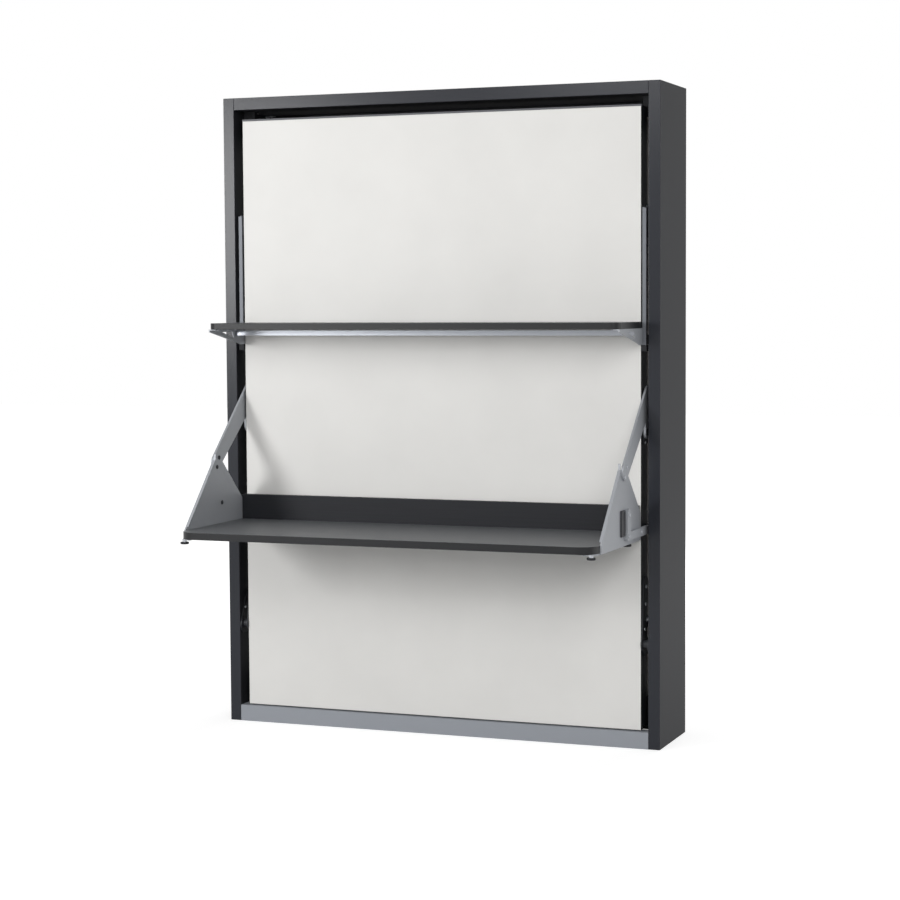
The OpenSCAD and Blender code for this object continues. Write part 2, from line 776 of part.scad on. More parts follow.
module shelf_bolts() {
    mid_y = lever_y0 + lever_w / 2;
    color("#c4c7cc") on_both_sides()
        for (z = [lever_z0 + 34, shelf_under - 14]) bolt_head([mid_y, z], arm_out);
}

// --- links and springs -------------------------------------------------------------------------

// Flat link with an eye at each end; the upper eye has play, as the linkage is open there
module level_link(s, p, q) {
    color("#8b8e93") on_side(s) difference() {
        sheet_at(link_x, link_t) bar_outline(p, link_w / 2 + 1, q, link_w / 2 + 1);
        pin_at(p, link_x - 1, link_out + 1, link_pin_r + fit);
        pin_at(q, link_x - 1, link_out + 1, link_pin_r + loose_fit);
    }
}

spring_x = bed_half + 8.5;
spring_dir = (spring_end - spring_base) / norm(spring_end - spring_base);
spring_angle = atan2(spring_dir.y, spring_dir.x);

// Puts a piece drawn along +Z on the line of the spring, at a distance from the cabinet's pin
module on_spring_line(at) {
    p = spring_base + spring_dir * at;
    translate([spring_x, p.x, p.y]) rotate([spring_angle - 90, 0, 0]) children();
}

module spring_cylinder(s) {
    eye_t = 7.5;
    color("#26272a") on_side(s) difference() {
        union() {
            on_spring_line(14) cylinder(h = cylinder_l - 14, r = cylinder_r);
            on_spring_line(spring_pin_r + 1) box_from([1 - eye_t / 2, -5, 0], [eye_t / 2 - 1, 5, 10]);
            pin_at(spring_base, spring_x - eye_t / 2, spring_x + eye_t / 2, spring_pin_r + 5);
        }
        pin_at(spring_base, spring_x - 10, spring_x + 10, spring_pin_r + fit);
        on_spring_line(22) cylinder(h = cylinder_l, r = spring_rod_r + fit);
    }
}

// Rod with a flat eye and its own clevis pin beside the bed's plate
module spring_rod(s) {
    reach = norm(spring_end - spring_base);
    color("#d0d3d8") on_side(s) {
        on_spring_line(reach - spring_rod_l) cylinder(h = spring_rod_l - 8, r = spring_rod_r);
        pin_at(spring_end, plate_x + rest_gap, spring_x + 3, 9);
    }
}

// --- pieces ------------------------------------------------------------------------------------

side_panel(-1);  // side_panel_left
side_panel(1);  // side_panel_right
top_panel();
base_rail();
wall_rail(inner_top - upper_wall_rail_h, upper_wall_rail_h);  // wall_rail_upper
wall_rail(lower_wall_rail_z, lower_wall_rail_h);  // wall_rail_lower
corner_brackets();
pivot_bearing(-1);  // pivot_bearing_left
pivot_bearing(1);  // pivot_bearing_right
anchor_plate(-1);  // anchor_plate_left
anchor_plate(1);  // anchor_plate_right
closing_stops();
front_panel();
top_edge_strip();
bed_rail(-1);  // bed_rail_left
bed_rail(1);  // bed_rail_right
bed_head_rail();
bed_foot_rail();
cross_tubes();
mattress_ledge();
slat_holders();
slats();
mattress();
mattress_straps();
pivot_plate(-1);  // pivot_plate_left
pivot_plate(1);  // pivot_plate_right
stub_hinge(-1, desk_hinge, desk_hinge_plate / 2);  // desk_hinge_left
stub_hinge(1, desk_hinge, desk_hinge_plate / 2);  // desk_hinge_right
stub_hinge(-1, shelf_hinge, shelf_hinge_plate / 2);  // shelf_hinge_left
stub_hinge(1, shelf_hinge, shelf_hinge_plate / 2);  // shelf_hinge_right
lever_stops();
desk_top();
desk_upstand();
desk_plate(-1);  // desk_plate_left
desk_plate(1);  // desk_plate_right
desk_arm(-1);  // desk_arm_left
desk_arm(1);  // desk_arm_right
desk_bracket(-1);  // desk_bracket_left
desk_bracket(1);  // desk_bracket_right
desk_cross_tube();
desk_foot_stems();
desk_foot_pads();
desk_bolts();
shelf_board();
shelf_lever(-1);  // shelf_lever_left
shelf_lever(1);  // shelf_lever_right
shelf_gusset(-1);  // shelf_gusset_left
shelf_gusset(1);  // shelf_gusset_right
shelf_rail();
shelf_foot_pads();
shelf_bolts();
level_link(-1, anchor_pin, lower_link_top);  // lower_link_left
level_link(1, anchor_pin, lower_link_top);  // lower_link_right
level_link(-1, upper_link_foot, upper_link_top);  // upper_link_left
level_link(1, upper_link_foot, upper_link_top);  // upper_link_right
spring_cylinder(-1);  // spring_cylinder_left
spring_cylinder(1);  // spring_cylinder_right
spring_rod(-1);  // spring_rod_left
spring_rod(1);  // spring_rod_right
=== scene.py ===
# %% [markdown]
# # A wall bed with a fold-down desk
#
# The object is an upright cabinet with a white bed front. A desk and a shelf ride on that front. The CAD
# model already has every board, lever and tube in its right place and size, so this lesson doesn't model
# those again. It gives them finishes, adds the soft and small pieces that CAD leaves plain, and lights them
# as a studio would. All lengths are in metres: X to the right, Y towards the wall, Z up.

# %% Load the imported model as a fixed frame
import json
import math

import bmesh
import bpy
from mathutils import Matrix, Vector


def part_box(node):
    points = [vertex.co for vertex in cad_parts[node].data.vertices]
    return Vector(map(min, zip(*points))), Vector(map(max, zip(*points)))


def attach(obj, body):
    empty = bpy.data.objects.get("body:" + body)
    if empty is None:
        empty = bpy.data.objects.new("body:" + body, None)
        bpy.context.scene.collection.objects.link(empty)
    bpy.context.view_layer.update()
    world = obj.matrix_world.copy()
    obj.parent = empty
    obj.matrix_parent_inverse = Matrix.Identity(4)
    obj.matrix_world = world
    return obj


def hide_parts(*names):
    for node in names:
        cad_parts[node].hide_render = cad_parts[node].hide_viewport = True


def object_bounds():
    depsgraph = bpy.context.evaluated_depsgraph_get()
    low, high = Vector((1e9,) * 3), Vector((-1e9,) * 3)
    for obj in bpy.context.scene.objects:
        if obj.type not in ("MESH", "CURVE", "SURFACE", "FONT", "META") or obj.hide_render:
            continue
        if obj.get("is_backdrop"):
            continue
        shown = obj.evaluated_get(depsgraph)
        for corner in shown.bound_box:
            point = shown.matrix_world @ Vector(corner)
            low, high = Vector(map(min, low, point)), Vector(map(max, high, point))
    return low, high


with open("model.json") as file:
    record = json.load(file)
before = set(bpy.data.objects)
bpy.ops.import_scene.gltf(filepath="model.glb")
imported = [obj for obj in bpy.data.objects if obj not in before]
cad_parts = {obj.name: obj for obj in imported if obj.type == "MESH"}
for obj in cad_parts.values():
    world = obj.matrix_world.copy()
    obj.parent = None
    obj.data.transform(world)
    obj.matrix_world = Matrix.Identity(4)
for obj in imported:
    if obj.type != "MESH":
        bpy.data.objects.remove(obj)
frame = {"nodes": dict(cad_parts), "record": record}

cad_box = [list(corner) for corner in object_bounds()]
nodes = frame["nodes"]
slot_of = {part["node"]: part["material_slot"] for part in frame["record"]["subparts"]}
print(len(nodes), "nodes; box", [[round(v, 3) for v in corner] for corner in cad_box])

# %% [markdown]
# ## The camera
#
# The lens and place were worked out from the straight edges of the cabinet and the desk, whose real sizes
# the CAD model gives. A long lens from 7 metres away keeps the upright edges almost parallel. The camera
# could be pointed at the object by a constraint, but a plain rotation matrix holds the small roll as well.

# %% Place the camera
lens_mm, sensor_mm = 86.14, 36.0
yaw, pitch, roll = 0.3705, -0.0694, 0.0059
stand = (2.675, -6.751, 1.477)

camera = bpy.data.objects.new("camera", bpy.data.cameras.new("camera"))
bpy.context.scene.collection.objects.link(camera)
camera.data.sensor_fit = "HORIZONTAL"
camera.data.sensor_width = sensor_mm
camera.data.lens = lens_mm
look_ahead = Matrix.Rotation(math.pi / 2, 3, "X")    # an unturned camera looks straight down
turn = (Matrix.Rotation(yaw, 3, "Z") @ Matrix.Rotation(pitch, 3, "X")
        @ Matrix.Rotation(roll, 3, "Y") @ look_ahead)
camera.matrix_world = Matrix.Translation(stand) @ turn.to_4x4()
bpy.context.scene.camera = camera
print("camera", round(camera.data.lens, 1), "mm,", [round(v, 2) for v in camera.location])

# %% [markdown]
# ## Colours
#
# Finishes are written as the hex values that a paint chart would give. A screen's values are bent towards
# the dark end, while Blender works with plain amounts of light. One function turns the one into the other.

# %% From a hex colour to light
def linear(colour):
    """Turns an sRGB hex colour into the linear RGBA that a shader works with."""
    parts = [int(colour[i:i + 2], 16) / 255 for i in (1, 3, 5)]
    return tuple(c / 12.92 if c <= 0.04045 else ((c + 0.055) / 1.055) ** 2.4 for c in parts) + (1.0,)


print("mid grey", [round(v, 3) for v in linear("#808080")])

# %% [markdown]
# ## Nodes
#
# A finish is a small tree of nodes. One function adds a node, sets it and links it, which keeps each finish
# below short enough to read as a recipe. Another starts a finish with its shader. Patterns are placed by
# the object's own coordinates, which are metres here, so their scale can be worked out from a real size: a
# noise at scale 500 has patches about 1/500 metre across.

# %% Add a node, and start a finish
def add(tree, kind, inputs=None, **settings):
    """Adds a node; inputs are values or other nodes' outputs, settings are the node's own options."""
    node = tree.nodes.new("ShaderNode" + kind)
    for name, value in settings.items():
        setattr(node, name, value)
    for name, value in (inputs or {}).items():
        if isinstance(value, bpy.types.NodeSocket):
            tree.links.new(value, node.inputs[name])
        else:
            node.inputs[name].default_value = value
    return node


def new_finish(name, **surface):
    """Starts a material: its tree, its shader and the object's own coordinates in metres."""
    material = bpy.data.materials.new(name)
    material.use_nodes = True
    tree = material.node_tree
    tree.nodes.clear()
    shader = add(tree, "BsdfPrincipled", {k.replace("_", " "): v for k, v in surface.items()})
    add(tree, "OutputMaterial", {"Surface": shader.outputs["BSDF"]})
    place = add(tree, "TexCoord").outputs["Object"]
    return material, tree, shader, place


print("two helpers ready")

# %% [markdown]
# ## Melamine boards
#
# Cabinet, bed front, desk and shelf are particle board faced with melamine laminate: printed paper soaked
# in resin and pressed against a steel plate. The plate leaves a fine pebble in the surface, so highlights
# are broad and soft. Thin edge bands close the cut edges, often in another colour or gloss. Two materials
# on picked faces could show that, but here one mesh has one material. So a mask tells band and face apart,
# by where a point lies or by which way the surface faces.

# %% One recipe for laminate, with a band along its edges
PEBBLE = 500.0                   # the real pebble is 0.3 mm, too fine to show, so it is drawn at 2 mm
CLOUDS = (3.0, 3.0, 3.0)         # plain boards drift in tone over about 330 mm
STREAKS = (5.0, 330.0, 330.0)    # printed grain: streaks 200 mm long along X and 3 mm wide
VARNISH_ROUGHNESS = 0.2


def melamine(name, face, band, mask_by, side, limit, roughness, gloss, grain=0.03, varnish=0.0):
    """mask_by is X, Y, Z or Up; the face is where its size is 'beyond' or 'within' the limit.
    roughness is a pair, for band and face, gloss is the specular level of both, and varnish is a clear coat
    on the band alone."""
    material, tree, shader, place = new_finish(name, IOR=1.5, Specular_IOR_Level=gloss)
    facing = add(tree, "NewGeometry").outputs["True Normal"]
    axes = add(tree, "SeparateXYZ", {"Vector": facing if mask_by == "Up" else place})
    along = axes.outputs["Z" if mask_by == "Up" else mask_by]
    size = add(tree, "Math", {0: along}, operation="ABSOLUTE")
    mask = add(tree, "Math", {0: size.outputs[0], 1: limit},
               operation="GREATER_THAN" if side == "beyond" else "LESS_THAN").outputs[0]
    spread = add(tree, "Mapping", {"Vector": place, "Scale": CLOUDS if grain < 0.05 else STREAKS})
    drift = add(tree, "TexNoise", {"Vector": spread.outputs[0], "Scale": 1.0, "Detail": 4.0})
    tone = add(tree, "MapRange", {"Value": drift.outputs["Fac"], "From Min": 0.3, "From Max": 0.7,
                                  "To Min": 1.0 - grain, "To Max": 1.0 + grain})
    # sockets 0, 6 and 7 of a colour mix are the mask and the two colours
    mix = add(tree, "Mix", {0: mask, 6: linear(band), 7: linear(face)}, data_type="RGBA")
    shade = add(tree, "VectorMath", {0: mix.outputs[2], "Scale": tone.outputs[0]}, operation="SCALE")
    tree.links.new(shade.outputs[0], shader.inputs["Base Color"])
    polish = add(tree, "MapRange", {"Value": mask, "To Min": roughness[0], "To Max": roughness[1]})
    tree.links.new(polish.outputs[0], shader.inputs["Roughness"])
    if varnish:
        coat = add(tree, "MapRange", {"Value": mask, "To Min": varnish, "To Max": 0.0})
        tree.links.new(coat.outputs[0], shader.inputs["Coat Weight"])
        shader.inputs["Coat Roughness"].default_value = VARNISH_ROUGHNESS
    pebble = add(tree, "TexNoise", {"Vector": place, "Scale": PEBBLE, "Detail": 2.0})
    bump = add(tree, "Bump", {"Height": pebble.outputs["Fac"], "Strength": 0.12, "Distance": 0.0004})
    tree.links.new(bump.outputs[0], shader.inputs["Normal"])
    return material


print("one recipe, pebble", round(1000 / PEBBLE, 1), "mm")

# %% [markdown]
# ## The four laminates
#
# Melamine resin has an index near 1.5, and its pebble gives a roughness of 0.4 to 0.5. The specular level
# starts at 0.5 and comes down until each board is as matt as in the photograph, where the cabinet is the
# mattest. Only its varnished bands shine: they give the thin bright line down the left.

# %% Press the laminates
finishes = {
    # cabinet boards: dull anthracite faces; the front bands are smooth, so they catch the lamp at the left
    "laminate_grey": melamine("anthracite_melamine", "#292a2d", "#2b2d33", "Y", "beyond", 0.002,
                              (0.3, 0.5), 0.08, varnish=0.25),
    # bed front: satin white that shows a lamp only as a slow change of tone, with dark bands at its sides
    "laminate_white": melamine("white_melamine", "#e6e5e2", "#1d1e21", "X", "within", 0.7165,
                               (0.4, 0.4), 0.22),
    # desk and shelf: printed woodgrain on the upper and lower faces, whose streaks run along the board
    "laminate_dark": melamine("woodgrain_melamine", "#616366", "#111215", "Up", "beyond", 0.9,
                              (0.4, 0.42), 0.3, grain=0.16),
    # upright strip behind the desk: nearly black and dull, with a faint grain
    "laminate_black": melamine("black_melamine", "#232428", "#232428", "Up", "beyond", 0.9,
                               (0.5, 0.5), 0.2, grain=0.08),
}
print("laminates:", sorted(finishes))

# %% [markdown]
# ## Powder-coated steel
#
# Plates and levers are cut from sheet steel and the bed's rails from tube, and all are powder-coated: dry
# paint that is baked until it flows. It sets with a faint orange peel, about 3 mm from crest to crest, and
# never gets as smooth as enamel. The silver coat holds metal flakes. They are finer than 0.1 mm and could
# never show, so they are drawn as patches of about 1 mm. A metal shader alone would look polished, so the
# flakes only make it part metallic.

# %% One recipe for powder coat and enamel
FLAKES, ORANGE_PEEL = 900.0, 350.0


def powder_coat(name, colour, metallic, roughness, gloss=0.5):
    """Paint over steel, with flakes in its colour and orange peel in its surface."""
    material, tree, shader, place = new_finish(name, Metallic=metallic, Roughness=roughness, IOR=1.5,
                                               Specular_IOR_Level=gloss)
    flake = add(tree, "TexNoise", {"Vector": place, "Scale": FLAKES, "Detail": 1.0})
    tone = add(tree, "MapRange", {"Value": flake.outputs["Fac"], "To Min": 0.9, "To Max": 1.1})
    base = add(tree, "VectorMath", {0: linear(colour)[:3], "Scale": tone.outputs[0]}, operation="SCALE")
    tree.links.new(base.outputs[0], shader.inputs["Base Color"])
    skin = add(tree, "TexNoise", {"Vector": place, "Scale": ORANGE_PEEL, "Detail": 1.0})
    bump = add(tree, "Bump", {"Height": skin.outputs["Fac"], "Strength": 0.2, "Distance": 0.0005})
    tree.links.new(bump.outputs[0], shader.inputs["Normal"])
    return material


print("peel", round(1000 / ORANGE_PEEL, 1), "mm")

# %% [markdown]
# ## The coats
#
# Powder starts from a roughness of 0.45 and enamel from 0.2. The shelf's two levers get a darker copy of
# the silver, which paints the shade that they stand in beside the bed front.

# %% Spray the coats
finishes |= {
    # base rail: plain pale grey, an even satin tone with no metal in it
    "steel_pale": powder_coat("pale_grey_powder_coat", "#969aa1", 0.0, 0.45, 0.4),
    # plates, arms, brackets and gussets: silver that brightens where it turns to a lamp
    "steel_silver": powder_coat("silver_powder_coat", "#a8abb0", 0.2, 0.45, 0.15),
    # shelf levers: the same silver, darkened as painted shade for the gap that they stand in
    "darker_silver": powder_coat("silver_powder_coat_painted_shade", "#75787d", 0.2, 0.45, 0.15),
    # bed frame, links and hidden plates: dull black; on the desk hinges the same black is painted shade
    "steel_black": powder_coat("black_powder_coat", "#26282c", 0.0, 0.5, 0.3),
    # spring cylinders: enamel, the shiniest paint, with a sharp highlight along the tube
    "black_enamel": powder_coat("black_enamel", "#1f2023", 0.0, 0.22),
}
print("coats:", len(finishes), "finishes so far")

# %% [markdown]
# ## Bare metal, rubber and nylon
#
# Bolts and spring rods are zinc-plated, with a slightly cloudy mottle 4 mm wide. The shelf rail is drawn
# aluminium, so fine lines run along it. Both vary in roughness only, because bare metal has one colour.
# Rubber and nylon are moulded in spark-eroded tools, which leave a grain of about 0.1 mm. It is drawn at
# 1.4 mm to show at all. The edge band has the same look.

# %% Two recipes for metal and mouldings
ZINC_MOTTLE = (250.0, 250.0, 250.0)
DRAWN_LINES = (2.0, 900.0, 900.0)    # lines of 0.1 mm, drawn 1 mm wide, and half a metre long
SPARK_GRAIN = 700.0


def streaked_metal(name, colour, roughness, scale):
    """Bare metal whose roughness varies in a pattern of the given scale."""
    material, tree, shader, place = new_finish(name, Metallic=1.0)
    shader.inputs["Base Color"].default_value = linear(colour)
    spread = add(tree, "Mapping", {"Vector": place, "Scale": scale})
    lines = add(tree, "TexNoise", {"Vector": spread.outputs[0], "Scale": 1.0, "Detail": 3.0})
    polish = add(tree, "MapRange", {"Value": lines.outputs["Fac"],
                                    "To Min": roughness - 0.1, "To Max": roughness + 0.1})
    tree.links.new(polish.outputs[0], shader.inputs["Roughness"])
    return material


def moulded(name, colour, roughness):
    """Plastic or rubber with the grain of its mould."""
    material, tree, shader, place = new_finish(name, Roughness=roughness, IOR=1.5, Specular_IOR_Level=0.35)
    shader.inputs["Base Color"].default_value = linear(colour)
    spark = add(tree, "TexNoise", {"Vector": place, "Scale": SPARK_GRAIN})
    bump = add(tree, "Bump", {"Height": spark.outputs["Fac"], "Strength": 0.25, "Distance": 0.0003})
    tree.links.new(bump.outputs[0], shader.inputs["Normal"])
    return material


finishes |= {
    # bolts, screws, foot stems and spring rods: bright but cloudy
    "bright_steel": streaked_metal("zinc_plated_steel", "#aeb1b6", 0.32, ZINC_MOTTLE),
    # rail under the shelf: satin, with highlights drawn out along it
    "aluminium_rail": streaked_metal("anodised_aluminium", "#96999f", 0.35, DRAWN_LINES),
    # foot pads and stops: the dullest of the hard finishes
    "rubber_black": moulded("moulded_rubber", "#232427", 0.75),
    # slat holders, caps, plugs and buckles: dark and softly shiny
    "plastic_black": moulded("moulded_nylon", "#2b2c30", 0.5),
    # strip along the bed front's top edge
    "edge_dark": moulded("edge_band", "#55565b", 0.45),
}
print("finishes:", len(finishes))

# %% [markdown]
# ## Beech
#
# The slats are beech veneers, glued in layers and lacquered. Beech has fine streaks along the grain, darker
# in the late wood. Rings would show on a solid board, but a peeled veneer shows only these streaks, so a
# stretched noise is enough. Lacquer has an index of 1.5 and a satin roughness.

# %% Lacquered beech
BEECH_GRAIN = (5.0, 260.0, 260.0)    # streaks 200 mm long and 4 mm wide, twice the real width


def beech():
    """Dark and light streaks along the slats, under lacquer."""
    material, tree, shader, place = new_finish("lacquered_beech", Roughness=0.38, IOR=1.5)
    spread = add(tree, "Mapping", {"Vector": place, "Scale": BEECH_GRAIN})
    grain = add(tree, "TexNoise", {"Vector": spread.outputs[0], "Scale": 1.0, "Detail": 5.0})
    ramp = add(tree, "ValToRGB", {"Fac": grain.outputs["Fac"]})
    late, early = ramp.color_ramp.elements
    late.position, late.color = 0.3, linear("#b8915c")
    early.position, early.color = 0.65, linear("#dfc597")
    tree.links.new(ramp.outputs[0], shader.inputs["Base Color"])
    return material


finishes["beech"] = beech()
print("grain", round(1000 / BEECH_GRAIN[1], 1), "mm")

# %% [markdown]
# ## Ticking and webbing
#
# Mattress ticking is a knitted cover whose ribs are about 2 mm apart. Webbing is a flat weave whose ribs
# cross the band, as far apart. Both are drawn at 4 mm, because 2 mm is less than a pixel. Cloth is rough,
# and its fibre ends give a faint sheen where it turns away.

# %% Woven finishes
RIB = 0.004
WAVE_LENGTH = 0.314    # a wave texture at scale 1 repeats every 0.314 metres


def woven(name, colour, direction):
    """Cloth with ribs that follow one another in a direction, X, Y or Z."""
    material, tree, shader, place = new_finish(name, Roughness=0.9, Sheen_Weight=0.25)
    ribs = add(tree, "TexWave", {"Vector": place, "Scale": WAVE_LENGTH / RIB, "Distortion": 0.4},
               wave_type="BANDS", bands_direction=direction)
    tone = add(tree, "MapRange", {"Value": ribs.outputs["Fac"], "To Min": 0.88, "To Max": 1.0})
    base = add(tree, "VectorMath", {0: linear(colour)[:3], "Scale": tone.outputs[0]}, operation="SCALE")
    tree.links.new(base.outputs[0], shader.inputs["Base Color"])
    bump = add(tree, "Bump", {"Height": ribs.outputs["Fac"], "Strength": 0.3, "Distance": 0.0008})
    tree.links.new(bump.outputs[0], shader.inputs["Normal"])
    return material


finishes |= {
    # mattress cover and piping: warm white, soft in every light
    "ticking": woven("mattress_ticking", "#e4e1d9", "Z"),
    # straps: dark grey, with a fine ribbed edge
    "webbing": woven("woven_webbing", "#3a3b40", "X"),
}
print("ribs", round(1000 * RIB), "mm apart")

# %% [markdown]
# ## Finishing the CAD parts
#
# The record says which slot each node belongs to, and every slot has its finish by now. Two kinds of part
# have a finish of their own, and both are painted shade: the shelf's levers get the darker silver, and the
# hinges behind the desk, which stay dark in the gaps beside the bed front, get black in place of their
# silver.

# %% Give every node its finish
# both own finishes are painted shade: darker silver on the shelf levers, black on the desk hinges
own_finish = {"shelf_lever": "darker_silver", "desk_hinge": "steel_black"}
for name, part in nodes.items():
    finish = own_finish.get(name.rsplit("_", 1)[0], slot_of[name])
    for holder in part.material_slots:
        holder.material = finishes[finish]
missing = {slot_of[n] for n in nodes} - set(finishes)
print("every node finished" if not missing else f"no finish for {missing}")

# %% [markdown]
# ## Settling a piece
#
# The pieces below are made in mesh code, because Blender's operators depend on what is selected. Each
# starts as a bare shape, and one function turns it into an object with smooth faces and a finish. It rides
# on a body of the mechanism, so that it moves with it.

# %% Settle a shape
def settle(name, shape, body, slot):
    """Turns a shape into a smooth object with a finish, riding on a body."""
    mesh = bpy.data.meshes.new(name)
    bmesh.ops.recalc_face_normals(shape, faces=shape.faces)
    for face in shape.faces:
        face.smooth = True
    shape.to_mesh(mesh)
    shape.free()
    mesh.materials.append(finishes[slot])
    piece = bpy.data.objects.new(name, mesh)
    bpy.context.scene.collection.objects.link(piece)
    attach(piece, body)
    return piece


# %% [markdown]
# ## Sweeping a section
#
# Webbing and piping are a section drawn along a path. A curve with a bevel could do the same, but its
# section twists on the way, and here a fixed upward direction keeps a flat band flat.

# %% Sweep a section along a path
def sweep(shape, path, section, up, closed=False):
    """path is a list of points; section is a list of (sideways, up) offsets, up a fixed direction."""
    up, rings = Vector(up), []
    for i, point in enumerate(path):
        ahead = path[(i + 1) % len(path)] if closed else path[min(i + 1, len(path) - 1)]
        behind = path[i - 1] if closed else path[max(i - 1, 0)]
        side = (Vector(ahead) - Vector(behind)).cross(up).normalized()
        rings.append([shape.verts.new(Vector(point) + side * a + up * b) for a, b in section])
    for first, second in zip(rings, rings[1:] + rings[:1] if closed else rings[1:]):
        for k in range(len(section)):
            shape.faces.new((first[k - 1], first[k], second[k], second[k - 1]))
    if not closed:
        shape.faces.new(rings[0])
        shape.faces.new(rings[-1])


print("sweep ready")

# %% [markdown]
# ## The mattress
#
# A foam mattress is a slab in a quilted cover, closed by a tape edge. Its quilting could be a bump texture,
# but the folds are several millimetres deep and show at the edge. So the cover is a mesh of 17 mm squares,
# and a cloth simulation blows it up between its seams. The seams are pinned: diagonals across both faces,
# which run through the corners of the squares, and a line round each edge.

# %% Lay out the cover and its seams
low, high = (Vector(corner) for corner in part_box("mattress"))
room_to_swell = Vector((0.004, 0.010, 0.004))
middle, half = (low + high) / 2, (high - low) / 2 - room_to_swell
counts = (84, 8, 119)    # squares along the width, the thickness and the length
edge_round = 0.03
diamond = 7              # squares from one diagonal seam to the next
tape = 2                 # squares from each face to its tape edge
cover, found, seams = bmesh.new(), {}, []


def cover_point(index):
    """The point at a place of the grid, made once, on a box with round edges."""
    if index not in found:
        flat = Vector([(2 * i / n - 1) * h for i, n, h in zip(index, counts, half)])
        core = Vector([max(-h + edge_round, min(h - edge_round, v)) for v, h in zip(flat, half)])
        out = flat - core
        spot = core + out.normalized() * edge_round if out.length else flat
        found[index] = cover.verts.new(middle + spot)
        i, j, k = index
        face_seam = j in (0, counts[1]) and 0 in ((i + k) % diamond, (i - k) % diamond)
        if face_seam or j in (tape, counts[1] - tape):
            seams.append(len(found) - 1)
    return found[index]


for axis in range(3):
    a, b = (axis + 1) % 3, (axis + 2) % 3
    for level in (0, counts[axis]):
        for i in range(counts[a]):
            for j in range(counts[b]):
                ring = []
                for da, db in ((0, 0), (1, 0), (1, 1), (0, 1)):
                    index = [0, 0, 0]
                    index[axis], index[a], index[b] = level, i + da, j + db
                    ring.append(cover_point(tuple(index)))
                cover.faces.new(ring if level else ring[::-1])
mattress = settle("quilted_mattress", cover, "bed", "ticking")
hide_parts("mattress")
print("cover:", len(mattress.data.vertices), "points,", len(seams), "of them on seams")

# %% [markdown]
# ## Blowing up the cover
#
# The simulation has pressure inside and no gravity. A soft limit keeps each point within 10 mm of its
# start, where a hard one would leave flat plateaus. Afterwards each point is held inside the box of the
# solid mattress, where the slats, the ledge and the straps would hold it. Displacing each point by a
# formula would be quicker, but gives no creases.

# %% Simulate, limit and smooth
def puff(piece, seams, limit, frames=20):
    """Swells a piece between its seams and returns how far its furthest point went before the limit."""
    start = [v.co.copy() for v in piece.data.vertices]
    piece.vertex_groups.new(name="seams").add(seams, 1.0, "REPLACE")
    cloth = piece.modifiers.new("cover", "CLOTH")
    # a soft cover: little stiffness against stretching, hardly any against folds
    cloth.settings.quality = 5
    cloth.settings.tension_stiffness = cloth.settings.compression_stiffness = 5.0
    cloth.settings.shear_stiffness, cloth.settings.bending_stiffness = 1.7, 0.05
    cloth.settings.use_pressure = True
    cloth.settings.uniform_pressure_force = 260.0
    cloth.settings.vertex_group_mass = "seams"
    cloth.settings.effector_weights.gravity = 0.0
    for number in range(1, frames + 1):
        bpy.context.scene.frame_set(number)
    shaped = piece.evaluated_get(bpy.context.evaluated_depsgraph_get())
    moved = [(v.co - s) for v, s in zip(shaped.data.vertices, start)]
    piece.modifiers.remove(cloth)
    piece.vertex_groups.clear()
    bpy.context.scene.frame_set(1)
    for v, s, move in zip(piece.data.vertices, start, moved):
        v.co = s + move * (limit * math.tanh(move.length / limit) / max(move.length, 1e-9))
        v.co = [max(l, min(h, c)) for l, h, c in zip(low, high, v.co)]
    return max(move.length for move in moved)


furthest = puff(mattress, seams, 0.010)
print("furthest point moved", round(1000 * furthest, 1), "mm before the limit")
smooth = mattress.modifiers.new("finer", "SUBSURF")
smooth.levels = smooth.render_levels = 1

# %% [markdown]
# ## Piping
#
# The tape edge is sewn round a thin cord, which stands out as piping. It is a round section of 6 mm swept
# round the mattress on the seam that the simulation held still. A curve with a round bevel would give the
# same, but the sweep is there already.

# %% Piping round both edges
def corner_loop(half_x, half_z, radius, y):
    """A loop round the mattress at depth y, with round corners."""
    path = []
    for quarter, (sx, sz) in enumerate(((1, 1), (-1, 1), (-1, -1), (1, -1))):
        for step in range(9):
            turn = math.radians(90 * quarter + 90 * step / 8)
            path.append((middle.x + sx * (half_x - radius) + radius * math.cos(turn), y,
                         middle.z + sz * (half_z - radius) + radius * math.sin(turn)))
    return path


piping_radius = 0.003
proud_x, proud_z = 0.0015, 0.001    # how far its middle stands out from the cover
section = [(piping_radius * math.cos(k * math.pi / 5), piping_radius * math.sin(k * math.pi / 5))
           for k in range(10)]
piping = bmesh.new()
for share in (-1, 1):
    depth = middle.y + share * half.y * (1 - 2 * tape / counts[1])
    loop = corner_loop(half.x + proud_x, half.z + proud_z, edge_round, depth)
    sweep(piping, loop, section, (0, 1, 0), closed=True)
settle("mattress_piping", piping, "bed", "ticking")
print("piping round", round(4 * (half.x + half.z), 2), "m, twice")

# %% [markdown]
# ## Straps
#
# Two webbing straps keep the mattress on the slats while the bed stands upright. Each is a flat band
# screwed to one rail, laid over the mattress and through a buckle, and screwed to the other rail. The CAD
# model has plain bands for them. Here they are swept sections that bend round the mattress edge and lie
# down on the rail. They are pulled tight, so their path is known and needs no cloth simulation. A tail
# comes up through each buckle, over its bars, and ends on the band.

# %% Two straps with their tails
strap_low, strap_high = (Vector(corner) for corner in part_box("mattress_straps"))
width, thick = 0.040, 0.0015
rail_back = low.y - 0.0003                       # the bed rails' rear faces
strap_end, on_rail = 0.716, rail_back + 0.001    # where the band ends, and its middle on the rail
flank, back = 0.702, high.y + 0.0012             # where it runs up beside the mattress, and over it
fold, lap = 0.034, 0.004                         # radius at the mattress edge and at the rail
band = [(a * thick / 2, b * width / 2) for a, b in
        ((-1, -0.97), (-0.4, -1), (0.4, -1), (1, -0.97), (1, 0.97), (0.4, 1), (-0.4, 1), (-1, 0.97))]
strap_heights = (strap_low.z + width / 2, strap_high.z - width / 2)
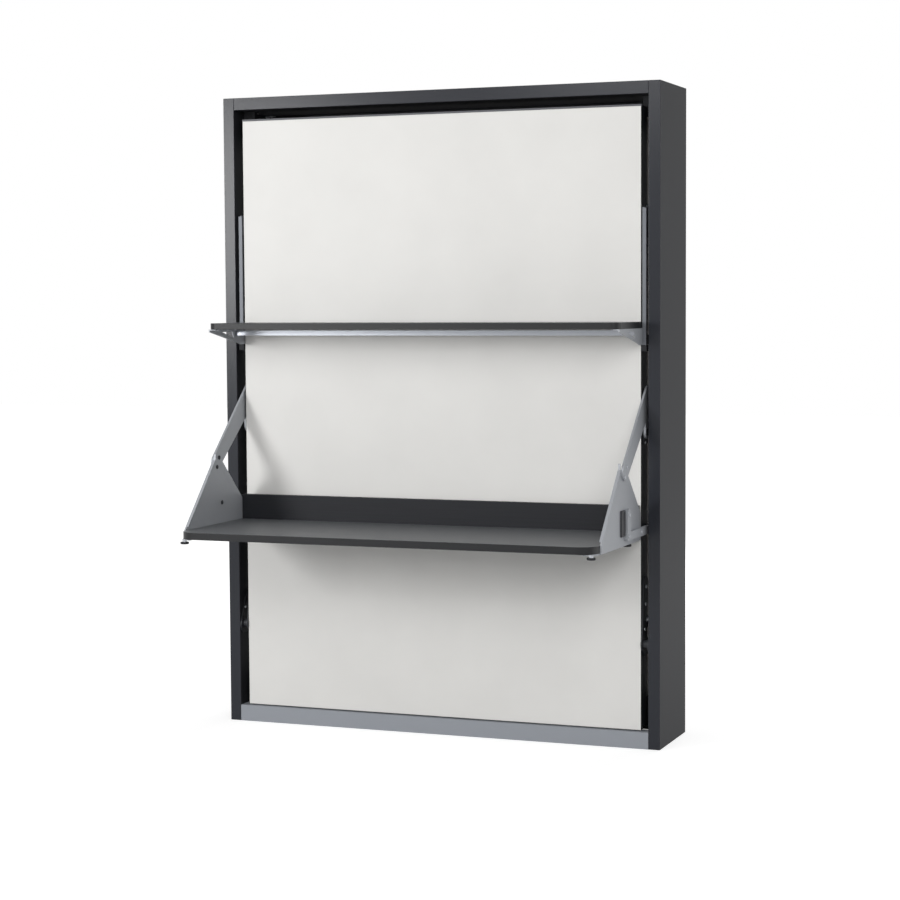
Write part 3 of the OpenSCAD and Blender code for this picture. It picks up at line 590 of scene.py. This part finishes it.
# along the strap from the buckle's middle bar, and how far above the band
tail = ((-0.014, 0.0016), (-0.008, 0.0042), (-0.003, 0.0054), (0.010, 0.0054), (0.023, 0.0054),
        (0.031, 0.004), (0.040, 0.0022), (0.052, 0.0016), (0.110, 0.0016), (0.150, 0.0024))


def bend(cx, cy, radius, start, end, z, steps):
    """An arc about (cx, cy) at height z, from one angle to another in degrees."""
    angles = [math.radians(start + (end - start) * i / steps) for i in range(steps + 1)]
    return [(cx + radius * math.cos(a), cy + radius * math.sin(a), z) for a in angles]


straps = bmesh.new()
for z in strap_heights:
    right = ([(strap_end, on_rail, z)]
             + bend(flank + lap, on_rail + lap, lap, 270, 180, z, 4)
             + bend(flank - fold, back - fold, fold, 0, 90, z, 8))
    left = [(-x, y, z) for x, y, z in reversed(right)]
    sweep(straps, right + left, band, (0, 0, 1))
    sweep(straps, [(x, back + lift, z) for x, lift in tail], band, (0, 0, 1))
webbing = settle("webbing_straps", straps, "bed", "webbing")
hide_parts("mattress_straps")
print("straps at", [round(z, 3) for z in strap_heights])

# %% [markdown]
# ## Buckles
#
# A ladder-lock buckle is a moulded nylon frame with two slots. It starts flat, as the cells of a grid
# without the two slots, and Solidify and Bevel give it thickness and round edges. Cutting the slots out of
# a block with a Boolean would work too, but leaves a less tidy mesh. The modifiers stay on the piece.

# %% A nylon buckle on each strap
columns = (-0.024, -0.018, -0.004, 0.003, 0.016, 0.022)    # bar, slot, bar, slot, bar along the strap
rows = (-0.0255, -0.0215, 0.0215, 0.0255)                  # side, opening, side across it
slots = ((1, 1), (3, 1))
frame_cells = bmesh.new()
for z in strap_heights:
    grid = [[frame_cells.verts.new((x, back + 0.0026, z + dz)) for dz in rows] for x in columns]
    for i in range(len(columns) - 1):
        for j in range(len(rows) - 1):
            if (i, j) not in slots:
                frame_cells.faces.new((grid[i][j], grid[i + 1][j], grid[i + 1][j + 1], grid[i][j + 1]))
buckles = settle("strap_buckles", frame_cells, "bed", "plastic_black")
body = buckles.modifiers.new("thickness", "SOLIDIFY")
body.thickness, body.offset = 0.0034, 0.0
rounding = buckles.modifiers.new("round edges", "BEVEL")
rounding.width, rounding.segments = 0.001, 3
print("buckles on", len(strap_heights), "straps")

# %% [markdown]
# ## Screws and nuts
#
# Every plate and angle is held by something. The bolts that show in front are in the CAD model; the rest
# are small domed heads with a hexagon socket. The desk's bolts end in nuts under black nylon caps, which
# are the dark dots on the inside of its plates. Each piece is a stack of rings, and in some rings the
# points move in to the flats of a hexagon. A cylinder would need a Boolean for the socket.

# %% One recipe for heads and capped nuts
# each ring: share of the radius, share of the height, and whether it is a hexagon
HEAD = ((1.0, -0.05, 0), (1.0, 0.35, 0), (0.86, 0.78, 0), (0.55, 1.0, 0), (0.46, 1.0, 1),
        (0.46, 0.4, 1))
NUT = ((1.0, -0.05, 1), (1.0, 0.5, 1), (0.92, 0.6, 0), (0.55, 0.6, 0), (0.55, 0.95, 0),
       (0.45, 1.0, 0))
ring_points = 24    # points round each ring


def hexagon(turn):
    """How far the flats of a hexagon lie in at an angle, as a share of its corners' radius."""
    return math.cos(math.pi / 6) / math.cos(turn % (math.pi / 3) - math.pi / 6)


def fasten(shape, rings, place, way, radius, height):
    """Adds a head or nut at a place, standing out the way that it faces."""
    turn = Vector((0, 0, 1)).rotation_difference(Vector(way)).to_matrix()
    before = None
    for across, up, six in rings:
        ring = []
        for k in range(ring_points):
            angle = 2 * math.pi * k / ring_points
            r = radius * across * (hexagon(angle) if six else 1.0)
            spot = Vector((r * math.cos(angle), r * math.sin(angle), height * up))
            ring.append(shape.verts.new(Vector(place) + turn @ spot))
        for k in range(ring_points if before else 0):
            shape.faces.new((before[k - 1], before[k], ring[k], ring[k - 1]))
        before = ring
    shape.faces.new(before)


print("a head has", len(HEAD), "rings")

# %% [markdown]
# ## Both sides at once
#
# Left and right of the bed are mirror images. So fasteners are listed for the right side only, as place,
# direction, radius and height, and made on both. A mirror modifier could do the same, but a loop over the
# two sides is as short and counts what it makes.

# %% Make a list of fasteners on both sides
def fasteners(name, body, slot, lists):
    """Makes one piece from lists of places, each list with its rings, on both sides of the middle."""
    shape, count = bmesh.new(), 0
    for rings, places in lists:
        for (x, y, z), (way_x, way_y, way_z), radius, height in places:
            for side in (1, -1):
                fasten(shape, rings, (side * x, y, z), (side * way_x, way_y, way_z), radius, height)
                count += 1
    settle(name, shape, body, slot)
    print(name + ":", count)


IN, OUT, DOWN, FRONT, BACK, UP = (-1, 0, 0), (1, 0, 0), (0, 0, -1), (0, -1, 0), (0, 1, 0), (0, 0, 1)
# radius and height of a head
large, medium, small = (0.006, 0.003), (0.0055, 0.003), (0.005, 0.0022)
tall, flat, slim = (0.0045, 0.0025), (0.0045, 0.0022), (0.0045, 0.002)
print("directions and sizes ready")

# %% [markdown]
# ## Where the cabinet is screwed
#
# Steel angles join its top and its lower wall board to the sides, tabs hold the base rail, and a plate on
# each side carries the pins of links and springs. Each head sits on the face of its angle, tab or plate.

# %% The cabinet's screws
angle_thick, plate_thick = 0.003, 0.004
inner_side, top_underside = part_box("side_panel_right")[0][0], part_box("top_panel")[0][2]
angle_face, anchor_face = inner_side - angle_thick, inner_side - plate_thick
on_leg = 0.017    # how far from its corner an angle is screwed
under_top = [((angle_face, y, top_underside - on_leg), IN, *small) for y in (0.125, 0.265)]
under_top += [((inner_side - on_leg, y, top_underside - angle_thick), DOWN, *small)
              for y in (0.125, 0.265)]
wall_board = [((angle_face, 0.283, 0.022), IN, *small), ((0.729, 0.298, 0.020), FRONT, *small)]
rail_tabs = [((angle_face, 0.057, z), IN, *small) for z in (0.016, 0.041)]
anchor = [((anchor_face, y, z), IN, *medium)
          for y, z in ((0.036, 0.400), (0.170, 0.325), (0.250, 0.340))]
fasteners("cabinet_screws", "cabinet", "bright_steel",
          [(HEAD, under_top + wall_board + rail_tabs + anchor)])

# %% [markdown]
# ## Where the bed is screwed
#
# The pivot plates and the desk's hinges are screwed to the rails from outside. The ledge under the mattress
# and the ends of the straps are screwed from behind.

# %% The bed's screws
rail_low, rail_high = (Vector(corner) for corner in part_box("bed_rail_right"))
plate_face = rail_high.x + plate_thick
pivot_plate = [((plate_face, y, z), OUT, *large)
               for y, z in ((0.040, 0.392), (0.048, 0.475), (0.055, 0.532))]
desk_hinge = [((plate_face, 0.044, 1.008), OUT, *tall)]
ledge = [((x, low.y + 0.0027, 0.105), BACK, *small) for x in (0.12, 0.36, 0.60)]
strap_ends = [((0.711, rail_back + 0.0017, z), BACK, *flat) for z in strap_heights]
fasteners("bed_screws", "bed", "bright_steel", [(HEAD, pivot_plate + desk_hinge + ledge + strap_ends)])

# %% [markdown]
# ## Where the desk and the shelf are screwed
#
# Screws come up through the plates' flanges into desk and shelf. The two bolts of each desk arm and the
# upper one of each bracket come through to the inside, and each ends there in a capped nut.

# %% The desk's and the shelf's screws and capped nuts
desk_flange = [((0.697, y, 0.693), DOWN, *small) for y in (-0.415, -0.300, -0.185)]
fasteners("desk_screws", "desk", "bright_steel", [(HEAD, desk_flange)])
desk_plate_inside, arm_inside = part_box("desk_top")[1][0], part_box("desk_arm_right")[0][0]
nut_cap = (0.0075, 0.0045)    # radius and height
bolt_ends = [((x, y, z), IN, *nut_cap) for x, y, z in
             ((desk_plate_inside, -0.213, 0.915), (arm_inside, -0.188, 0.945),
              (desk_plate_inside, -0.180, 0.791))]
fasteners("desk_nut_caps", "desk", "plastic_black", [(NUT, bolt_ends)])
shelf_flange = [((0.7075, y, 1.380), DOWN, *slim) for y in (-0.215, -0.140, -0.080)]
fasteners("shelf_screws", "shelf", "bright_steel", [(HEAD, shelf_flange)])

# %% [markdown]
# ## Tube plugs
#
# Open ends of square tube are closed with pushed-in nylon plugs, whose low rounded caps stand out a little.
# A cap is a few rounded rectangles, one over the other, each a bit smaller than the one before. A bevelled
# block would look alike from afar, but has no dished middle.

# %% Plugs in the bed rails and in the desk's cross tube
def plug(shape, place, out, across, along, rise=0.0025):
    """out is the way that the cap faces; across and along are the half sides of the tube."""
    out, across, along, before = Vector(out), Vector(across), Vector(along), None
    corner, least = 0.003, 0.0008    # radius of the corners, which shrinks with each step inwards
    for inset, up in ((0.0, -0.001), (0.0, 0.55 * rise), (0.0008, rise), (0.004, rise),
                      (0.005, 0.6 * rise)):
        r, ring = max(corner - inset, least), []
        half_a, half_b = across.length - inset - r, along.length - inset - r
        for quarter, (sa, sb) in enumerate(((1, 1), (-1, 1), (-1, -1), (1, -1))):
            for step in range(4):
                angle = math.radians(90 * quarter + 30 * step)
                ring.append(shape.verts.new(
                    Vector(place) + across.normalized() * (sa * half_a + r * math.cos(angle))
                    + along.normalized() * (sb * half_b + r * math.sin(angle)) + out * up))
        for k in range(len(ring) if before else 0):
            shape.faces.new((before[k - 1], before[k], ring[k], ring[k - 1]))
        before = ring
    shape.faces.new(before)


caps = bmesh.new()
at, reach = (rail_low + rail_high) / 2, (rail_high - rail_low) / 2
for side in (1, -1):
    for z, way in ((rail_low.z, DOWN), (rail_high.z, UP)):
        plug(caps, (side * at.x, at.y, z), way, (reach.x, 0, 0), (0, reach.y, 0))
settle("rail_plugs", caps, "bed", "plastic_black")
caps = bmesh.new()
tube_low, tube_high = (Vector(corner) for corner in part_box("desk_cross_tube"))
at, reach = (tube_low + tube_high) / 2, (tube_high - tube_low) / 2
for side in (1, -1):
    plug(caps, (side * tube_high.x, at.y, at.z), (side, 0, 0), (0, 0, reach.z), (0, reach.y, 0), 0.002)
settle("cross_tube_plugs", caps, "desk", "plastic_black")
print("six plugs")

# %% [markdown]
# ## Painted shade on the desk plates
#
# On the outer face of each desk plate, just before the bracket's leg, an upright pad of black nylon paints
# the shade that falls beside the leg as a dark patch. The plug's rounded rectangle, drawn larger and
# thicker, gives its shape.

# %% A black pad of painted shade on each desk plate
desk_plate_outside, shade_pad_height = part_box("desk_plate_right")[1][0], 0.006
pads = bmesh.new()
for side in (1, -1):
    place = (side * desk_plate_outside, -0.2225, 0.767)
    plug(pads, place, (side, 0, 0), (0, 0.020, 0), (0, 0, 0.042), shade_pad_height)
# black pads that paint the shade beside each bracket's leg
settle("desk_painted_shade_pads", pads, "desk", "plastic_black")
print("two painted shade pads")

# %% [markdown]
# ## A white ground
#
# The photograph has a pure white ground. Rays from the camera, and those that mirrors and glass send on,
# meet white at strength 1, while the light that falls on the object comes from a dimmer sky. Making the
# whole sky white would be simpler, but its light would wash out the shading.

# %% The sky
def seen_rays(tree):
    """1 for the rays that show the ground: from the camera, and by way of a mirror or glass."""
    ray = add(tree, "LightPath")
    seen = add(tree, "Math", {0: ray.outputs["Is Camera Ray"], 1: ray.outputs["Is Glossy Ray"]},
               operation="MAXIMUM")
    return add(tree, "Math", {0: seen.outputs[0], 1: ray.outputs["Is Transmission Ray"]},
               operation="MAXIMUM").outputs[0]


sky_light, white_ground = 0.3, 1.0
world = bpy.data.worlds.new("studio")
bpy.context.scene.world = world
world.use_nodes = True
sky = world.node_tree
sky.nodes.clear()
dim = add(sky, "Background", {"Color": (1, 1, 1, 1), "Strength": sky_light})
white = add(sky, "Background", {"Color": (1, 1, 1, 1), "Strength": white_ground})
both = add(sky, "MixShader", {0: seen_rays(sky), 1: dim.outputs[0], 2: white.outputs[0]})
add(sky, "OutputWorld", {"Surface": both.outputs[0]})
print("sky", sky_light, "for light,", white_ground, "to look at")

# %% [markdown]
# ## The floor
#
# For the same rays the floor adds a plain light of its own, so that it clips to white far off and still
# takes the object's shadow near it. The light is less near the object, and there is none inside the
# cabinet's foot, where it would shine out through the gaps.

# %% A pale floor that keeps the shadow
foot_side, foot_front, foot_back = inner_side, 0.04, cad_box[1][1]    # inside the cabinet's foot
near, far = (1.0, 0.71), (4.0, 0.93)                                  # distance and light there

ground = bpy.data.materials.new("studio_floor")
ground.use_nodes = True
tree = ground.node_tree
tree.nodes.clear()
matt = add(tree, "BsdfDiffuse", {"Color": (0.5, 0.5, 0.5, 1)})
place = add(tree, "TexCoord").outputs["Object"]
axes = add(tree, "SeparateXYZ", {"Vector": place})
off_middle = add(tree, "Math", {0: axes.outputs["X"]}, operation="ABSOLUTE")
aside = add(tree, "Math", {0: off_middle.outputs[0], 1: foot_side}, operation="GREATER_THAN")
before = add(tree, "Math", {0: axes.outputs["Y"], 1: foot_front}, operation="LESS_THAN")
behind = add(tree, "Math", {0: axes.outputs["Y"], 1: foot_back}, operation="GREATER_THAN")
clear = add(tree, "Math", {0: aside.outputs[0], 1: before.outputs[0]}, operation="MAXIMUM")
clear = add(tree, "Math", {0: clear.outputs[0], 1: behind.outputs[0]}, operation="MAXIMUM")
reach = add(tree, "VectorMath", {0: place}, operation="LENGTH")
shine = add(tree, "MapRange", {"Value": reach.outputs["Value"], "From Min": near[0], "From Max": far[0],
                               "To Min": near[1], "To Max": far[1]})
strength = add(tree, "Math", {0: clear.outputs[0], 1: shine.outputs[0]}, operation="MULTIPLY")
glow = add(tree, "Emission", {"Color": (1, 1, 1, 1), "Strength": strength.outputs[0]})
lit = add(tree, "AddShader", {0: matt.outputs[0], 1: glow.outputs[0]})
pick = add(tree, "MixShader", {0: seen_rays(tree), 1: matt.outputs[0], 2: lit.outputs[0]})
add(tree, "OutputMaterial", {"Surface": pick.outputs[0]})
bpy.ops.mesh.primitive_plane_add(size=40)
floor = bpy.context.object
floor.name = "studio_floor"
floor.data.materials.append(ground)
floor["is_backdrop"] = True
print("floor", round(floor.dimensions.x), "m wide")

# %% [markdown]
# ## Lamps
#
# Square lamps give the shadows soft edges, and a bigger lamp gives a softer edge. Sun lamps would be
# simpler, but their shadows are hard. Each lamp has a task, which its line tells. Together they are only
# as strong as makes a colour render about as it is written. Two are kept out of reflections, where they
# would show as bright patches.

# %% Six soft lamps
aim = Vector((0, 0, 1.1))
no_reflection = ("front", "back")
lamps = (
    # name, position, size, power
    ("left", (-3.05, -4.4, 1.98), 1.3, 108.0),     # main light, and the line down the left edge
    ("right", (3.2, -5.0, 3.3), 2.5, 92.0),        # second light, from above the camera
    ("front", (-0.3, -6.5, 1.2), 3.0, 34.0),       # fills the shadows below desk and shelf
    ("above", (-0.7, -4.6, 3.0), 1.0, 22.0),       # lights the boards' upper faces and edges
    ("side", (5.5, 1.0, 1.0), 2.5, 30.0),          # keeps the cabinet's right side off black
    ("back", (0.8, 5.5, 2.6), 2.5, 150.0),         # shows mattress and straps from behind
)
for name, position, size, power in lamps:
    lamp = bpy.data.objects.new(name, bpy.data.lights.new(name, "AREA"))
    lamp.data.energy, lamp.data.size = power, size
    lamp.visible_camera = False
    lamp.visible_glossy = name not in no_reflection
    lamp.location = position
    lamp.rotation_euler = (aim - Vector(position)).to_track_quat("-Z", "Y").to_euler()
    bpy.context.scene.collection.objects.link(lamp)
bpy.context.scene.view_settings.view_transform = "Standard"
print(len(lamps), "lamps")

# %% [markdown]
# ## Checking the size
#
# The pieces made here are meant to stay within the CAD model, so the script prints by how much each corner
# of the shown box lies past the CAD box.

# %% Compare the sizes and finish
shown_box = [list(corner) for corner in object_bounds()]
growth = [[round(1000 * (b - a), 1) for a, b in zip(*pair)] for pair in zip(cad_box, shown_box)]
print("grown by", growth, "mm")
